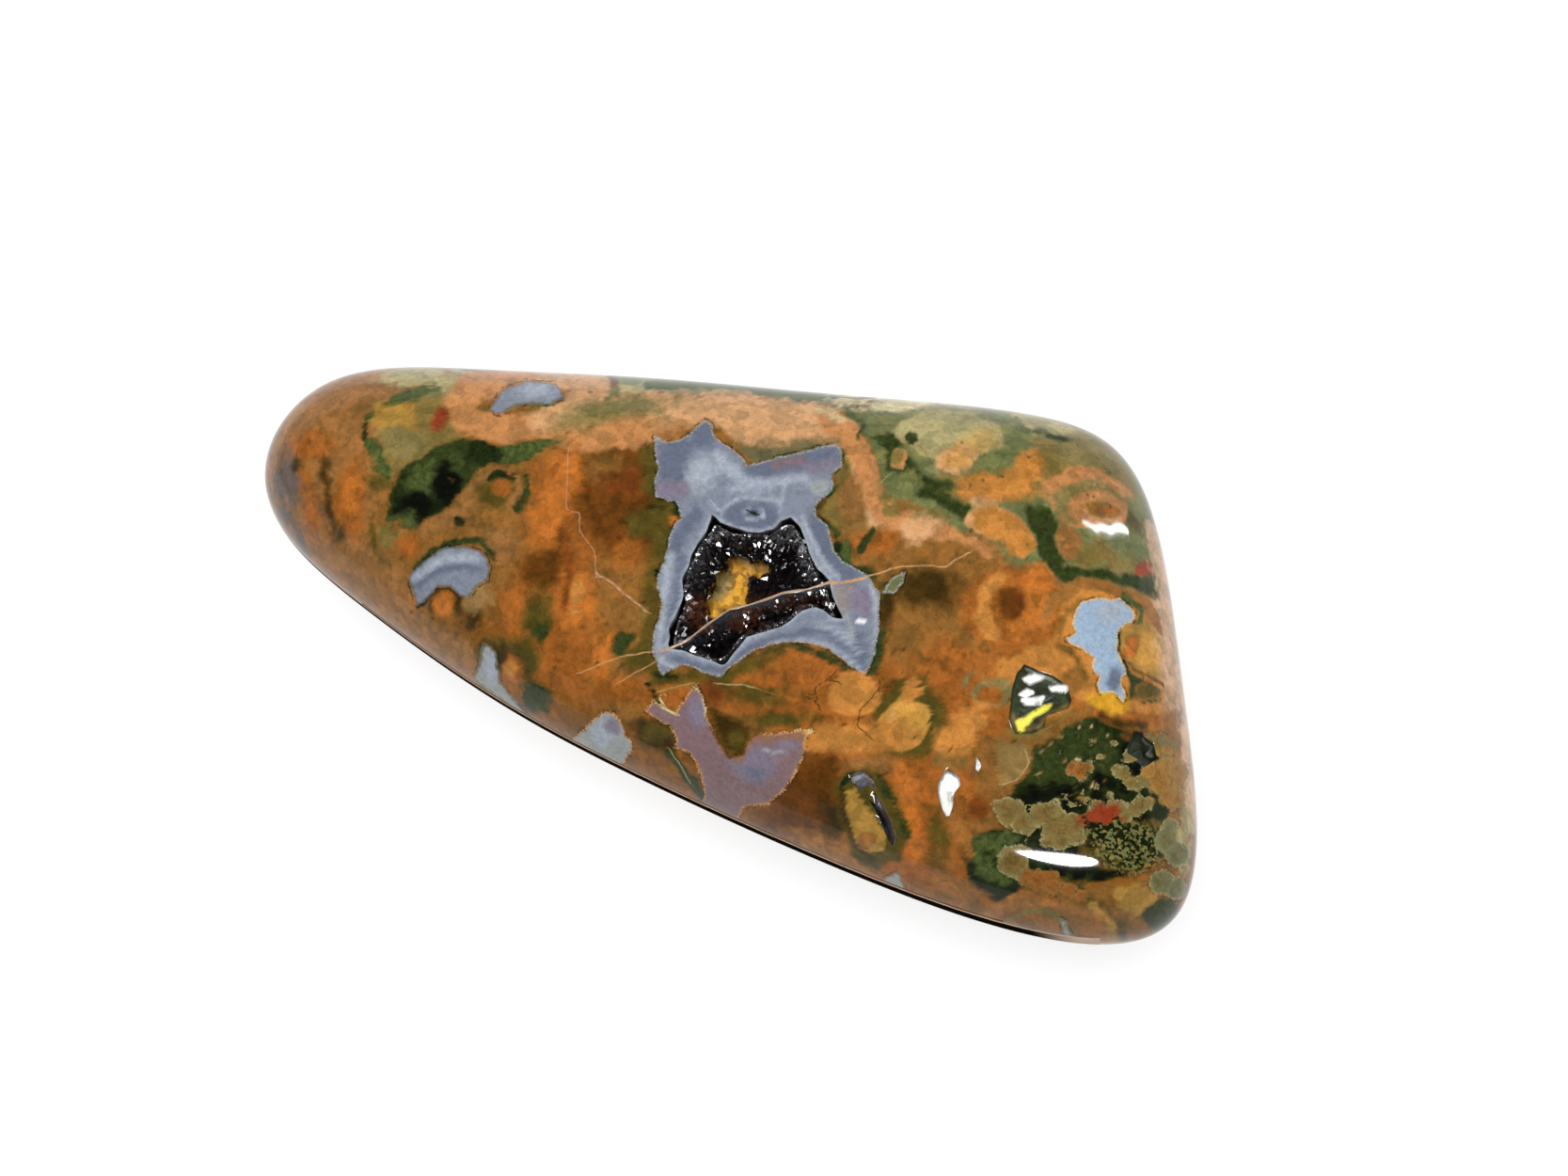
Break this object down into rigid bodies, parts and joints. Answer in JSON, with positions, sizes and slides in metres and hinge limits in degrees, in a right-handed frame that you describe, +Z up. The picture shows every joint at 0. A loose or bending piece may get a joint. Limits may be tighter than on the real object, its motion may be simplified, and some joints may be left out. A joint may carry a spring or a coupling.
{
  "type": "polished rainforest jasper freeform",
  "caption": "Polished freeform of orbicular green and brown jasper with a crystal-lined vug, lying on a small flat spot.",
  "frame": {"origin": "middle of the bounding box, on the surface that the stone rests on", "axes": "+X along the stone toward its wide end, +Y toward the long straight edge, +Z up"},
  "size_m": [0.0889, 0.0417, 0.0175],
  "materials": {
    "jasper": "high polish; orange-brown orbicular jasper with dark green moss, grey-blue agate and cream rims",
    "druse": "glassy smoky-black quartz crystals, frosted grey near the rim"
  },
  "bodies": {
    "root": {"jasper_stone": "jasper", "quartz_druse": "druse"}
  },
  "joints": []
}
